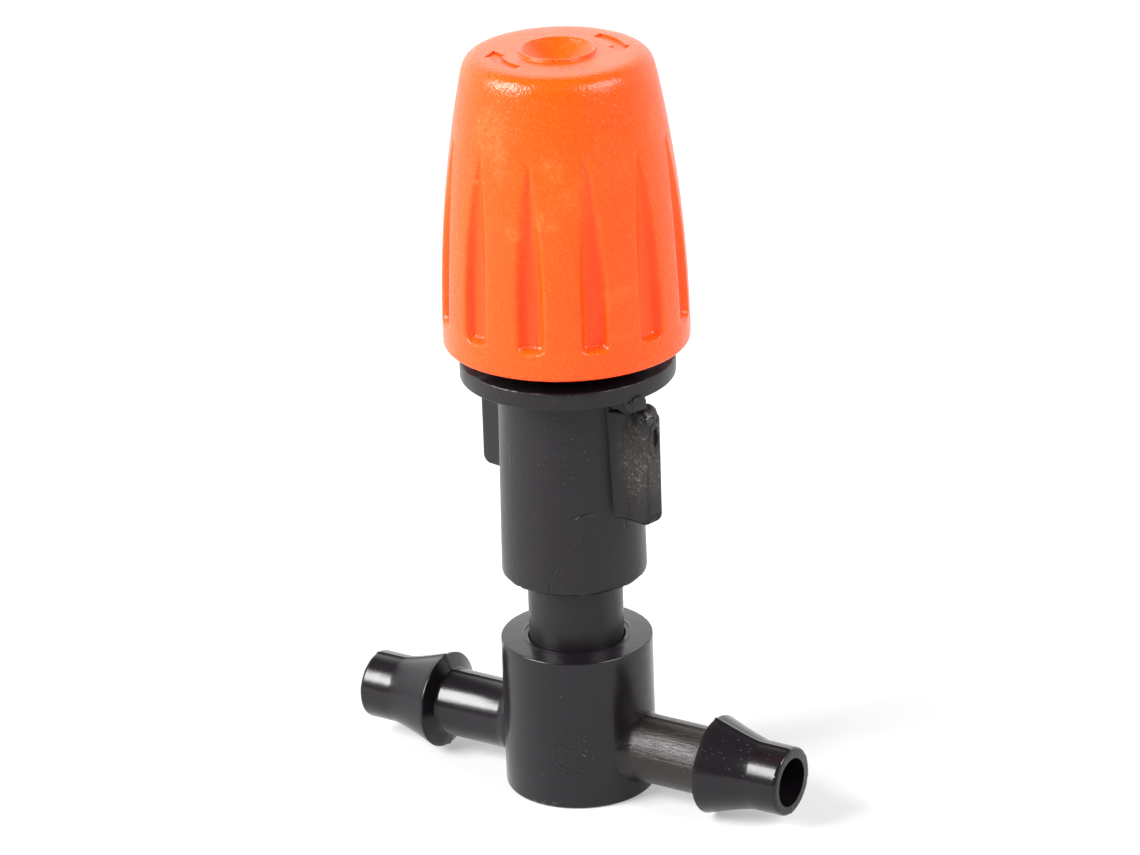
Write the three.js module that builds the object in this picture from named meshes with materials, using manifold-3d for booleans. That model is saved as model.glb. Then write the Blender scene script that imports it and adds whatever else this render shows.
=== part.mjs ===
// Adjustable mist nozzle, pushed into a barbed tee for 4/7 mm micro tube.
// Millimetres, +Z up. The origin is the centre of the tee's base, and the tee's arms lie along X.
// The cap stands part way open on its thread, 1.12 mm above the nozzle's flange.

import * as THREE from 'three';
import { mergeVertices } from 'three/addons/utils/BufferGeometryUtils.js';
import Module from 'manifold-3d';

const wasm = await Module();
wasm.setup();

// Tee: a round barrel with a socket in its top and two barbed arms.
const teeBarrelR = 4.8;
const teeHeight = 10.1;
const armAxisZ = 3.2;
const stemR = 2.18;
const barbR = 3.15;
const barbX = 10.05; // where the barb's sharp ridge stands
const barbBack = 0.35; // length of the steep face behind the ridge
const noseX = 13.4; // where the flare meets the nose
const noseR = 2.2;
const armTipX = 15.5;
const waterR = 1.5; // the bore through both arms
const socketFloorZ = 5.2;

// Nozzle: plug, barrel, wings, flange and threaded neck.
const plugR = 3.0;
const plugTipZ = 5.4;
const barrelBottomZ = 14.6;
const barrelBottomR = 4.57;
const barrelTopR = 4.38;
const flangeBottomZ = 27.87;
const flangeTopZ = 29.02;
const flangeR = 6.7;
const neckRootR = 4.95;
const neckCrestR = 5.55;
const neckShoulderZ = 37.2; // top of the threaded part
const neckSmoothR = 4.3;
const neckTopZ = 43.0;
const plugBoreR = 1.6;
const barrelBoreR = 2.2;
const wingReach = 7.0; // from the axis to the wing's end face
const wingThickness = 1.4;
const wingBottomZ = 19.4;
const wingTopZ = 27.6;
const wingTurn = -10.5; // degrees from +X: the nozzle stands slightly turned in the tee

// Swirl core, a light press fit in the top of the neck.
const coreR = 2.5;
const coreBottomZ = 38.5;
const coreNoseZ = 45.8;
const coreNoseR = 1.5;
const corePointZ = 46.4;

// Cap.
const capRimZ = 30.14;
const capRimR = 7.66;
const capTopZ = 48.65;
const capTopR = 5.0; // where the flat top starts
const shoulderDrop = 0.95;
const capCeilingZ = 46.9;
const capBoreR = 4.5;
const capRootR = 5.75; // root of the cap's thread
const capCrestR = 5.2;
const capMouthR = 6.1;
const capStepZ = 38.5; // top of the threaded part
const dishR = 2.19;
const dishDepth = 0.88;
const lipR = 2.38;
const lipHeight = 0.22;
const outletR = 0.5;
const fluteCount = 12;
const fluteTurn = 15.5; // degrees from +X to one flute
const fluteDepth = 0.5;
const fluteR = 0.85;
const fluteBottomZ = 31.8;
const fluteTopZ = 43.6;
const arrowR = 4.0; // from the axis to the middle of an arrow
const arrowTurn = 61.7; // degrees from +X to the middle of one arrow
const arrowDepth = 0.25;

// Rubber ring, held in a groove of the cap's bore and sealing on the smooth neck.
const ringSection = 0.6;
const ringZ = 40.1;
const ringMidR = neckSmoothR + ringSection + 0.04;

const slip = 0.05; // clearance on the radius of a plug or insert in its hole
const threadPitch = 1.5;
const threadRoot = 0.9; // width of a thread ridge at its foot
const threadCrest = 0.35;
const roundSteps = 40; // facets around a round feature
const degree = Math.PI / 180;

const blackPlastic = { color: 0x2b2a2c, metalness: 0 };
const teeMaterial = new THREE.MeshStandardMaterial({ ...blackPlastic, roughness: 0.4 });
const nozzleMaterial = new THREE.MeshStandardMaterial({ ...blackPlastic, roughness: 0.55 });
const capMaterial = new THREE.MeshStandardMaterial({ color: 0xff5a14, metalness: 0, roughness: 0.45 });
const coreMaterial = new THREE.MeshStandardMaterial({ color: 0x3a3a3d, metalness: 0, roughness: 0.45 });
const rubberMaterial = new THREE.MeshStandardMaterial({ color: 0x1c1b1c, metalness: 0, roughness: 0.8 });

// A closed geometry as a solid that can be joined and cut.
function toSolid(geometry) {
  const bare = geometry.clone();
  bare.deleteAttribute('normal');
  bare.deleteAttribute('uv');
  const merged = mergeVertices(bare, 1e-4);
  const index = merged.index.array;
  const triangles = [];
  for (let i = 0; i < index.length; i += 3) {
    const [a, b, c] = index.slice(i, i + 3);
    if (a !== b && b !== c && c !== a) triangles.push(a, b, c);
  }
  return new wasm.Manifold(new wasm.Mesh({
    numProp: 3,
    vertProperties: merged.attributes.position.array,
    triVerts: Uint32Array.from(triangles),
  }));
}

function toMesh(name, solid, material) {
  const { vertProperties, triVerts } = solid.getMesh();
  const geometry = new THREE.BufferGeometry();
  geometry.setAttribute('position', new THREE.BufferAttribute(vertProperties, 3));
  geometry.setIndex(new THREE.BufferAttribute(triVerts, 1));
  geometry.computeVertexNormals();
  const mesh = new THREE.Mesh(geometry, material);
  mesh.name = name;
  return mesh;
}

// Turns an outline of [radius, height] points, listed from the bottom up, around the Z axis.
function turned(outline, steps = roundSteps) {
  const points = outline.map(([radius, height]) => new THREE.Vector2(radius, height));
  return new THREE.LatheGeometry(points, steps).rotateX(90 * degree);
}

function turnedSolid(outline, steps = roundSteps) {
  return toSolid(turned(outline, steps));
}

// A round hole or rod along Z between two heights.
function rod(radius, bottom, top, steps = roundSteps) {
  return turnedSolid([[0, bottom], [radius, bottom], [radius, top], [0, top]], steps);
}

// A ridge that winds up a cylinder, fading in and out over its first and last quarter turn.
function threadRidge(rootR, crestR, bottomZ, turns) {
  const steps = 20;
  const count = Math.round(turns * steps);
  const outward = Math.sign(crestR - rootR);
  const foot = rootR - outward * 0.3; // buried in the wall, so that ridge and wall join
  const footHalf = threadRoot / 2;
  const crestHalf = threadCrest / 2;
  const positions = [];
  const index = [];
  for (let i = 0; i <= count; i++) {
    const turn = i / steps;
    const fade = Math.min(1, turn * 4, (turns - turn) * 4);
    const crest = foot + (crestR - foot) * Math.max(fade, 0.1);
    const angle = turn * 2 * Math.PI;
    const middle = bottomZ + turn * threadPitch;
    const section = [[foot, -footHalf], [crest, -crestHalf], [crest, crestHalf], [foot, footHalf]];
    for (const [radius, rise] of section) {
      positions.push(radius * Math.cos(angle), radius * Math.sin(angle), middle + rise);
    }
  }
  for (let i = 0; i < count; i++) {
    for (let k = 0; k < 4; k++) {
      const a = i * 4 + k;
      const b = i * 4 + (k + 1) % 4;
      index.push(a, a + 4, b, b, a + 4, b + 4);
    }
  }
  const last = count * 4;
  index.push(0, 1, 2, 0, 2, 3, last, last + 2, last + 1, last, last + 3, last + 2);
  if (outward < 0) index.reverse();
  const geometry = new THREE.BufferGeometry();
  geometry.setAttribute('position', new THREE.Float32BufferAttribute(positions, 3));
  geometry.setIndex(index);
  return toSolid(geometry);
}

// One arm's outside, along +X from the tee's axis: stem, barb, flare and nose.
function barbedArm() {
  const flare = new THREE.QuadraticBezierCurve(
    new THREE.Vector2(barbR, barbX),
    new THREE.Vector2(noseR + 0.1, noseX - 0.9),
    new THREE.Vector2(noseR, noseX),
  );
  const edge = 0.25;
  const outline = [
    [0, 0], [stemR, 0], [stemR, barbX - barbBack],
    ...flare.getPoints(4).map((point) => [point.x, point.y]),
    [noseR, armTipX - edge], [noseR - edge * 0.3, armTipX - edge * 0.3],
    [noseR - edge, armTipX], [0, armTipX],
  ];
  return toSolid(turned(outline, 32).rotateY(90 * degree).translate(0, 0, armAxisZ));
}

function teeConnector() {
  const edge = 0.2;
  const barrel = turnedSolid([
    [0, 0], [teeBarrelR - edge, 0], [teeBarrelR, edge], [teeBarrelR, teeHeight - edge / 2],
    [teeBarrelR - edge / 2, teeHeight], [0, teeHeight],
  ], 48);
  const arm = barbedArm();
  const socket = rod(plugR + slip, socketFloorZ, teeHeight + 1);
  const drop = rod(waterR, armAxisZ, socketFloorZ + 1, 24);
  const bore = toSolid(new THREE.CylinderGeometry(waterR, waterR, armTipX * 2 + 2, 24)
    .rotateZ(90 * degree).translate(0, 0, armAxisZ));
  return barrel.add(arm).add(arm.mirror([1, 0, 0])).subtract(socket).subtract(drop).subtract(bore);
}

// One wing, standing in the XZ plane, with rounded outer corners.
function wing() {
  const inner = barrelTopR - 0.6;
  const topRound = 0.9;
  const bottomRound = 0.6;
  const shape = new THREE.Shape();
  shape.moveTo(inner, wingBottomZ);
  shape.lineTo(wingReach - bottomRound, wingBottomZ);
  shape.absarc(wingReach - bottomRound, wingBottomZ + bottomRound, bottomRound, -90 * degree, 0);
  shape.lineTo(wingReach, wingTopZ - topRound);
  shape.absarc(wingReach - topRound, wingTopZ - topRound, topRound, 0, 90 * degree);
  shape.lineTo(barrelTopR + 0.6, wingTopZ);
  shape.lineTo(barrelTopR + 0.6, flangeBottomZ + 0.3);
  shape.lineTo(inner, flangeBottomZ + 0.3);
  const settings = { depth: wingThickness, bevelEnabled: false, curveSegments: 6 };
  const plate = new THREE.ExtrudeGeometry(shape, settings);
  return plate.translate(0, 0, -wingThickness / 2).rotateX(90 * degree);
}

function nozzleBody() {
  const edge = 0.3;
  const outside = turnedSolid([
    [0, plugTipZ], [plugR - edge, plugTipZ], [plugR, plugTipZ + edge], [plugR, barrelBottomZ],
    [barrelBottomR - edge, barrelBottomZ], [barrelBottomR, barrelBottomZ + edge], [barrelTopR, flangeBottomZ],
    [flangeR - edge / 2, flangeBottomZ], [flangeR, flangeBottomZ + edge / 2],
    [flangeR, flangeTopZ - edge / 2], [flangeR - edge / 2, flangeTopZ],
    [neckRootR, flangeTopZ], [neckRootR, neckShoulderZ - edge], [neckRootR - edge, neckShoulderZ],
    [neckSmoothR, neckShoulderZ], [neckSmoothR, neckTopZ - edge], [neckSmoothR - edge, neckTopZ],
    [0, neckTopZ],
  ]);
  const inside = turnedSolid([
    [0, plugTipZ - 1], [plugBoreR, plugTipZ - 1], [plugBoreR, barrelBottomZ + 1],
    [barrelBoreR, barrelBottomZ + 2], [barrelBoreR, coreBottomZ], [coreR + slip, coreBottomZ],
    [coreR + slip, neckTopZ + 1], [0, neckTopZ + 1],
  ]);
  const thread = threadRidge(neckRootR, neckCrestR, flangeTopZ + 1.4, 3.9);
  let solid = outside.add(thread);
  for (const turn of [wingTurn, wingTurn + 180]) {
    solid = solid.add(toSolid(wing().rotateZ(turn * degree)));
  }
  return solid.subtract(inside);
}

// Water passes up four side slots and through three slots cut off-centre across the nose,
// which make it swirl.
function swirlCore() {
  const blankTop = neckTopZ;
  const blank = turnedSolid([
    [0, coreBottomZ + slip], [coreR, coreBottomZ + slip], [coreR, blankTop],
    [coreNoseR + 0.4, coreNoseZ - 0.8],
    [coreNoseR, coreNoseZ], [0.42, coreNoseZ], [0.12, corePointZ], [0, corePointZ],
  ], 36);
  const sideSlot = new THREE.BoxGeometry(1.0, 0.8, 8).translate(coreR, 0, (coreBottomZ + blankTop) / 2);
  const swirlSlot = new THREE.BoxGeometry(2.4, 0.4, 0.9).translate(1.4, 0.85, coreNoseZ);
  let solid = blank;
  for (let i = 0; i < 4; i++) {
    solid = solid.subtract(toSolid(sideSlot.clone().rotateZ(i * 90 * degree)));
  }
  for (let i = 0; i < 3; i++) {
    solid = solid.subtract(toSolid(swirlSlot.clone().rotateZ(i * 120 * degree)));
  }
  return solid;
}

// The groove's faces stand clear of the ring by the same slip all round.
function sealRing() {
  const sides = 8;
  const outline = [];
  for (let i = 0; i <= sides; i++) {
    const angle = (i % sides) / sides * 2 * Math.PI;
    outline.push([ringMidR + ringSection * Math.cos(angle), ringZ + ringSection * Math.sin(angle)]);
  }
  return turnedSolid(outline, 36);
}

// The cap's side leans in slowly near the rim and faster near the shoulder.
function capSideR(height) {
  const rise = (height - capRimZ) / (capTopZ - capRimZ);
  return capRimR - 0.1 * rise - 1.87 * rise ** 2.2;
}

// A blunt wedge that leans with the cap's side, deepest at its rounded foot and fading out at its top.
function fluteCutter() {
  const foot = fluteBottomZ + fluteR;
  const bottom = new THREE.Vector3(capSideR(foot) + fluteR - fluteDepth, 0, foot);
  const top = new THREE.Vector3(capSideR(fluteTopZ) + fluteR * 0.5, 0, fluteTopZ);
  const length = bottom.distanceTo(top);
  const cone = new THREE.CylinderGeometry(fluteR * 0.5, fluteR, length, 10).rotateX(90 * degree);
  const ball = new THREE.SphereGeometry(fluteR, 10, 6).rotateX(90 * degree).translate(0, 0, -length / 2);
  const lean = Math.atan2(top.x - bottom.x, top.z - bottom.z);
  const middle = bottom.add(top).multiplyScalar(0.5);
  const place = new THREE.Matrix4().makeRotationY(lean).setPosition(middle);
  return toSolid(cone.applyMatrix4(place)).add(toSolid(ball.applyMatrix4(place)));
}

// A curved arrow, engraved in the top: a band of a ring with a wide head at its clockwise end.
function arrowCutter() {
  const tail = arrowTurn + 20;
  const neck = arrowTurn - 8;
  const tip = arrowTurn - 23;
  const half = 0.24;
  const headHalf = 0.6;
  const at = (radius, turn) =>
    new THREE.Vector2(radius * Math.cos(turn * degree), radius * Math.sin(turn * degree));
  const shape = new THREE.Shape();
  shape.absarc(0, 0, arrowR + half, tail * degree, neck * degree, true);
  for (const point of [at(arrowR + headHalf, neck), at(arrowR, tip), at(arrowR - headHalf, neck)]) {
    shape.lineTo(point.x, point.y);
  }
  shape.absarc(0, 0, arrowR - half, neck * degree, tail * degree, false);
  const cutter = new THREE.ExtrudeGeometry(shape, { depth: 1, bevelEnabled: false, curveSegments: 3 });
  return toSolid(cutter.translate(0, 0, capTopZ - arrowDepth));
}

function adjusterCap() {
  const shoulderZ = capTopZ - shoulderDrop;
  const sideFoot = capRimZ + 0.3;
  const side = [];
  for (let i = 0; i <= 7; i++) {
    const height = sideFoot + (shoulderZ - sideFoot) * i / 7;
    side.push([capSideR(height), height]);
  }
  const shoulder = new THREE.QuadraticBezierCurve(
    new THREE.Vector2(capSideR(shoulderZ), shoulderZ),
    new THREE.Vector2(capSideR(capTopZ), capTopZ),
    new THREE.Vector2(capTopR, capTopZ),
  );
  const outside = turnedSolid([
    [0, capRimZ], [capRimR - 0.15, capRimZ], ...side,
    ...shoulder.getPoints(4).slice(1).map((point) => [point.x, point.y]),
    [lipR, capTopZ], [lipR - 0.1, capTopZ + lipHeight],
    [dishR - 0.02, capTopZ + lipHeight], [0, capTopZ + lipHeight],
  ], 60);
  const dish = [[0, capTopZ - dishDepth]];
  for (let i = 1; i <= 4; i++) {
    dish.push([dishR * i / 4, capTopZ - dishDepth + (dishDepth + lipHeight) * (i / 4) ** 2]);
  }
  dish.push([dishR, capTopZ + 1], [0, capTopZ + 1]);
  const grooveR = ringMidR + ringSection + slip;
  const groove = ringSection + slip;
  const inside = turnedSolid([
    [0, capRimZ - 1], [capMouthR, capRimZ - 1], [capMouthR, capRimZ + 0.5], [capRootR, capRimZ + 0.9],
    [capRootR, capStepZ - 0.5], [capBoreR, capStepZ], [capBoreR, ringZ - groove], [grooveR, ringZ - groove],
    [grooveR, ringZ + groove], [capBoreR, ringZ + groove], [capBoreR, capCeilingZ - 0.8],
    [capBoreR - 0.8, capCeilingZ], [0, capCeilingZ],
  ]);
  // Half a pitch above the neck's ridge, so that each ridge runs in the middle of the other's groove.
  const thread = threadRidge(capRootR, capCrestR, flangeTopZ + 1.4 + threadPitch * 1.5, 3.3);
  let solid = outside.subtract(turnedSolid(dish)).subtract(inside).add(thread);
  solid = solid.subtract(rod(outletR, capCeilingZ - 1, capTopZ, 20));
  const flute = fluteCutter();
  for (let i = 0; i < fluteCount; i++) {
    solid = solid.subtract(flute.rotate([0, 0, fluteTurn + i * 360 / fluteCount]));
  }
  const arrow = arrowCutter();
  return solid.subtract(arrow).subtract(arrow.rotate([0, 0, 180]));
}

const mistNozzle = new THREE.Group();
mistNozzle.add(
  toMesh('tee_connector', teeConnector(), teeMaterial),
  toMesh('nozzle_body', nozzleBody(), nozzleMaterial),
  toMesh('swirl_core', swirlCore(), coreMaterial),
  toMesh('seal_ring', sealRing(), rubberMaterial),
  toMesh('adjuster_cap', adjusterCap(), capMaterial),
);

export default mistNozzle;
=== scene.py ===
# Adjustable mist nozzle, plugged into a barbed tee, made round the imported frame.
# Sizes in the dictionaries are millimetres and degrees.
import math

import bmesh
import bpy
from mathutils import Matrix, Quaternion, Vector


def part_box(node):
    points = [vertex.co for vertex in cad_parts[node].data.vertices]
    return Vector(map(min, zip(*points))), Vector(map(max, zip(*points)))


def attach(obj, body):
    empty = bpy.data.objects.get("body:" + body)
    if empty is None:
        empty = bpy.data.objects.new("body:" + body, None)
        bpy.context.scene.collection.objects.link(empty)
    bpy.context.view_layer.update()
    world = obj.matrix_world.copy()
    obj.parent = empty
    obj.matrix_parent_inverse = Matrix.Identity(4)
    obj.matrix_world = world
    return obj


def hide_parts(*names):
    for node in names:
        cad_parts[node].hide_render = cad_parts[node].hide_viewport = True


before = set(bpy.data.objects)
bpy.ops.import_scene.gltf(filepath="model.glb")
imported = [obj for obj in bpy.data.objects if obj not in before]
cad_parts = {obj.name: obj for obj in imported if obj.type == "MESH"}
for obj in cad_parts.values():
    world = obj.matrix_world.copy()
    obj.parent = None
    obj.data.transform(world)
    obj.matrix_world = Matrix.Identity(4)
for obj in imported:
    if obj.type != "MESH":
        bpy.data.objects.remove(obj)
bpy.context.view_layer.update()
mm = 0.001
print("frame loaded,", len(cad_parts), "CAD nodes")


def clearSelection():
    if bpy.context.mode != "OBJECT":
        bpy.ops.object.mode_set(mode="OBJECT")
    bpy.ops.object.select_all(action="DESELECT")


def pick(obj):
    clearSelection()
    obj.select_set(True)
    bpy.context.view_layer.objects.active = obj


def openMesh(obj):
    pick(obj)
    bpy.ops.object.mode_set(mode="EDIT")
    bpy.ops.mesh.select_all(action="DESELECT")
    return bmesh.from_edit_mesh(obj.data)


def closeMesh():
    bpy.ops.object.mode_set(mode="OBJECT")


# Selects the faces, edges or vertices that pass a test. The mesh is open.
def choose(obj, kind, test):
    bpy.ops.mesh.select_mode(type=kind)
    bpy.ops.mesh.select_all(action="DESELECT")
    mesh = bmesh.from_edit_mesh(obj.data)
    items = {"FACE": mesh.faces, "EDGE": mesh.edges, "VERT": mesh.verts}[kind]
    for item in items:
        if test(item):
            item.select_set(True)
    mesh.select_flush_mode()
    bmesh.update_edit_mesh(obj.data)


def edgeMiddle(edge):
    return (edge.verts[0].co + edge.verts[1].co) / 2


def tidyMesh(obj):
    pick(obj)
    bpy.ops.object.mode_set(mode="EDIT")
    bpy.ops.mesh.select_all(action="SELECT")
    bpy.ops.mesh.remove_doubles(threshold=2e-6)
    bpy.ops.mesh.normals_make_consistent(inside=False)
    closeMesh()


def applyModifier(obj, kind, **settings):
    pick(obj)
    bpy.ops.object.modifier_add(type=kind)
    modifier = obj.modifiers[-1]
    for key, value in settings.items():
        setattr(modifier, key, value)
    bpy.ops.object.modifier_apply(modifier=modifier.name)


def join(target, tool, how="UNION"):
    applyModifier(target, "BOOLEAN", operation=how, object=tool, solver="MANIFOLD")
    bpy.data.objects.remove(tool)


def cut(target, tool):
    join(target, tool, "DIFFERENCE")


def turnAboutZ(obj, turn):
    pick(obj)
    obj.rotation_euler = (0, 0, math.radians(turn))
    bpy.ops.object.transform_apply(rotation=True)


# A block about a middle point, both in millimetres.
def block(size, middle):
    clearSelection()
    bpy.ops.mesh.primitive_cube_add(size=1)
    made = bpy.context.object
    made.scale = [v * mm for v in size]
    made.location = [v * mm for v in middle]
    bpy.ops.object.transform_apply(location=True, scale=True)
    return made


# Rounds the corners of an outline of (radius, height, rounding) points.
def softOutline(corners, segments=4, loop=True):
    points = []
    count = len(corners)
    for i, (r, z, soft) in enumerate(corners):
        here = Vector((r, z))
        if soft == 0 or (not loop and i in (0, count - 1)):
            points.append((r, z))
            continue
        back = (Vector(corners[i - 1][:2]) - here).normalized() * soft
        on = (Vector(corners[(i + 1) % count][:2]) - here).normalized() * soft
        for k in range(segments + 1):
            t = k / segments
            point = here + back * (1 - t) ** 2 + on * t ** 2
            points.append((point.x, point.y))
    return points


# Builds a turned shape as a stack of rings: a circle, extruded and resized point by point.
# A loop outline closes on its first ring, any other gets its two ends filled.
def ringStack(name, outline, steps, loop=True, reshape=None):
    clearSelection()
    r, z = outline[0]
    bpy.ops.mesh.primitive_circle_add(vertices=steps, radius=r * mm, location=(0, 0, z * mm))
    obj = bpy.context.object
    obj.name = obj.data.name = name
    bpy.ops.object.transform_apply(location=True)
    bpy.ops.object.mode_set(mode="EDIT")
    bpy.ops.mesh.select_all(action="SELECT")
    for nextR, nextZ in outline[1:] + (outline[:1] if loop else []):
        bpy.ops.mesh.extrude_edges_move(TRANSFORM_OT_translate={"value": (0, 0, (nextZ - z) * mm)})
        grow = nextR / r
        bpy.ops.transform.resize(value=(grow, grow, 1), center_override=(0, 0, 0))
        r, z = nextR, nextZ
    if not loop:
        bpy.ops.mesh.select_all(action="SELECT")
        bpy.ops.mesh.fill_holes(sides=0)
    closeMesh()
    if reshape:
        reshape(obj)
    tidyMesh(obj)
    return obj


# A helical ridge: a trapezoid, wound by Screw, its ends filled and sunk into the wall.
def threadRidge(sizes, rootR, crestR, bottomZ, turns):
    clearSelection()
    outward = 1 if crestR > rootR else -1
    foot = rootR - outward * sizes["sunk"]
    bpy.ops.mesh.primitive_plane_add(size=1, rotation=(math.radians(90), 0, 0))
    ridge = bpy.context.object
    ridge.scale = (abs(crestR - foot) * mm, sizes["threadRoot"] * mm, 1)
    bpy.ops.object.transform_apply(rotation=True, scale=True)
    bpy.ops.object.mode_set(mode="EDIT")
    choose(ridge, "VERT", lambda v: v.co.x * outward > 0)
    narrow = sizes["threadCrest"] / sizes["threadRoot"]
    bpy.ops.transform.resize(value=(1, 1, narrow), center_override=(0, 0, 0))
    bpy.ops.mesh.select_all(action="SELECT")
    bpy.ops.mesh.delete(type="ONLY_FACE")
    bpy.ops.mesh.select_all(action="SELECT")
    bpy.ops.transform.translate(value=((foot + crestR) / 2 * mm, 0, bottomZ * mm))
    closeMesh()
    steps = round(sizes["stepsPerTurn"] * turns)
    applyModifier(ridge, "SCREW", angle=2 * math.pi * turns, screw_offset=sizes["pitch"] * turns * mm,
                  iterations=1, steps=steps, render_steps=steps, use_merge_vertices=False)
    bpy.ops.object.mode_set(mode="EDIT")
    bpy.ops.mesh.select_all(action="SELECT")
    bpy.ops.mesh.fill_holes(sides=4)
    closeMesh()
    tidyMesh(ridge)
    return ridge


# Makes an edge slightly uneven: the chosen points move by up to the given amount.
def ragged(obj, amount, seed, test):
    openMesh(obj)
    choose(obj, "VERT", test)
    bpy.ops.transform.vertex_random(offset=amount * mm, uniform=0.2, normal=0.5, seed=seed)
    closeMesh()


def smooth(obj, angle):
    pick(obj)
    bpy.ops.object.shade_smooth_by_angle(angle=math.radians(angle))


# Hands a finished piece to the frame.
def place(obj, node, body, slot, material):
    obj.data.materials.clear()
    obj.data.materials.append(material)
    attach(obj, body)
    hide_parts(node)
    print(obj.name, "faces", len(obj.data.polygons))


# The point of an upright round wall that faces turn, in millimetres.
def onWall(r, turn, z):
    return r * math.cos(math.radians(turn)), r * math.sin(math.radians(turn)), z


# Wraps a socket, so that sums on it become Math nodes.
class Value:
    def __init__(self, socket):
        self.socket = socket

    def math(self, operation, first, second=0.0):
        paint = Paint(self.socket.id_data)
        return paint.node("ShaderNodeMath", {"operation": operation}, {0: first, 1: second})

    def __add__(self, other):
        return self.math("ADD", self, other)

    def __sub__(self, other):
        return self.math("SUBTRACT", self, other)

    def __rsub__(self, other):
        return self.math("SUBTRACT", other, self)

    def __mul__(self, other):
        return self.math("MULTIPLY", self, other)

    def __pow__(self, other):
        return self.math("POWER", self, other)

    def __gt__(self, other):
        return self.math("GREATER_THAN", self, other)

    def __lt__(self, other):
        return self.math("LESS_THAN", self, other)

    def __abs__(self):
        return self.math("ABSOLUTE", self)

    __radd__ = __add__
    __rmul__ = __mul__


# Builds one node tree. Every node comes from node().
class Paint:
    def __init__(self, tree):
        self.tree = tree

    def node(self, kind, settings, inputs, output=0):
        made = self.tree.nodes.new(kind)
        for key, setting in settings.items():
            setattr(made, key, setting)
        for key, given in inputs.items():
            if isinstance(given, Value):
                self.tree.links.new(given.socket, made.inputs[key])
            else:
                made.inputs[key].default_value = given
        return Value(made.outputs[output])

    def place(self):
        return self.node("ShaderNodeTexCoord", {}, {}, "Object")

    def stretched(self, scale, turn=(0, 0, 0)):
        angles = tuple(math.radians(a) for a in turn)
        inputs = {"Vector": self.place(), "Scale": scale, "Rotation": angles}
        return self.node("ShaderNodeMapping", {}, inputs)

    def axes(self):
        return self.split(self.place())

    # Noise with features about size millimetres across.
    def noise(self, size, detail=3.0, rough=0.5, vector=None, warp=0.0):
        return self.node("ShaderNodeTexNoise", {}, {
            "Vector": vector or self.place(), "Scale": 1 / (size * mm), "Detail": detail,
            "Roughness": rough, "Distortion": warp})

    # Scattered dots: about one cell in share holds a dot, radius and spacing in millimetres.
    def specks(self, spacing, radius, share, vector=None):
        inputs = {"Vector": vector or self.place(), "Scale": 1 / (spacing * mm)}
        cell = self.node("ShaderNodeTexVoronoi", {}, inputs, "Distance")
        chance = Value(cell.socket.node.outputs["Color"])
        dot = self.fade(cell, radius / spacing, radius / spacing * 0.6)
        return dot * (self.grey(chance) < share)

    # Object coordinates about a point in millimetres, in units of size: X faces turn, Z leans by slant.
    def local(self, centre, size, turn=0, slant=0):
        return self.node("ShaderNodeMapping", {"vector_type": "TEXTURE"}, {
            "Vector": self.place(), "Location": [c * mm for c in centre], "Scale": [v * mm for v in size],
            "Rotation": (math.radians(slant), 0, math.radians(turn))})

    # 1 in the middle of a soft-edged patch, 0 outside it.
    def patch(self, centre, size, turn=0):
        return self.fade(self.length(self.local(centre, size, turn)), 1, 0.4)

    # A patch on an upright round wall.
    def wallPatch(self, r, turn, z, size):
        return self.patch(onWall(r, turn, z), size, turn)

    # A thin line round part of a circle on an upright wall: its top, down to low radii above the middle.
    def arc(self, r, turn, z, radius, width, low):
        centre = onWall(r, turn, z)
        vector = self.local(centre, (1000, radius, radius), turn)
        line = self.fade(abs(self.length(vector) - 1), width / radius, 0)
        top = self.fade(self.split(vector)[2], low - 0.15, low + 0.15)
        near = self.patch(centre, (3 * radius,) * 3)
        return line * top * (near > 0.02)

    # A thin straight line on an upright wall, as long as given.
    def scratch(self, r, turn, z, slant, length, width):
        x, y, z = self.split(self.local(onWall(r, turn, z), (1, 1, 1), turn, slant))
        sides = self.fade(abs(y), width * 2, 0) * self.fade(abs(z), length / 2, length / 3)
        return sides * self.fade(abs(x), 1.2, 0.8)

    def split(self, vector):
        parts = self.node("ShaderNodeSeparateXYZ", {}, {"Vector": vector}).socket.node
        return [Value(parts.outputs[i]) for i in range(3)]

    def length(self, vector):
        return self.node("ShaderNodeVectorMath", {"operation": "LENGTH"}, {0: vector}, "Value")

    def grey(self, colour):
        return self.node("ShaderNodeSeparateColor", {}, {"Color": colour})

    # 0 at low and 1 at high, smooth between. low may be the larger.
    def fade(self, value, low, high):
        return self.node("ShaderNodeMapRange", {"interpolation_type": "SMOOTHSTEP"},
                         {"Value": value, "From Min": low, "From Max": high})

    def blend(self, factor, first, second):
        made = self.node("ShaderNodeMix", {"data_type": "RGBA"}, {0: factor}, 2)
        for index, given in ((6, first), (7, second)):
            target = made.socket.node.inputs[index]
            if isinstance(given, Value):
                self.tree.links.new(given.socket, target)
            else:
                target.default_value = (*given, 1)
        return made

    def bump(self, height, depth, before=None):
        inputs = {"Height": height, "Distance": depth * mm, "Strength": 1.0}
        if before:
            inputs["Normal"] = before
        return self.node("ShaderNodeBump", {}, inputs)


def newMaterial(name, fixed, varying):
    material = bpy.data.materials.new(name)
    material.use_nodes = True
    tree = material.node_tree
    shader = tree.nodes["Principled BSDF"]
    for key, setting in fixed.items():
        shader.inputs[key].default_value = setting
    for key, value in varying(Paint(tree)).items():
        tree.links.new(value.socket, shader.inputs[key])
    return material


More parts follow.
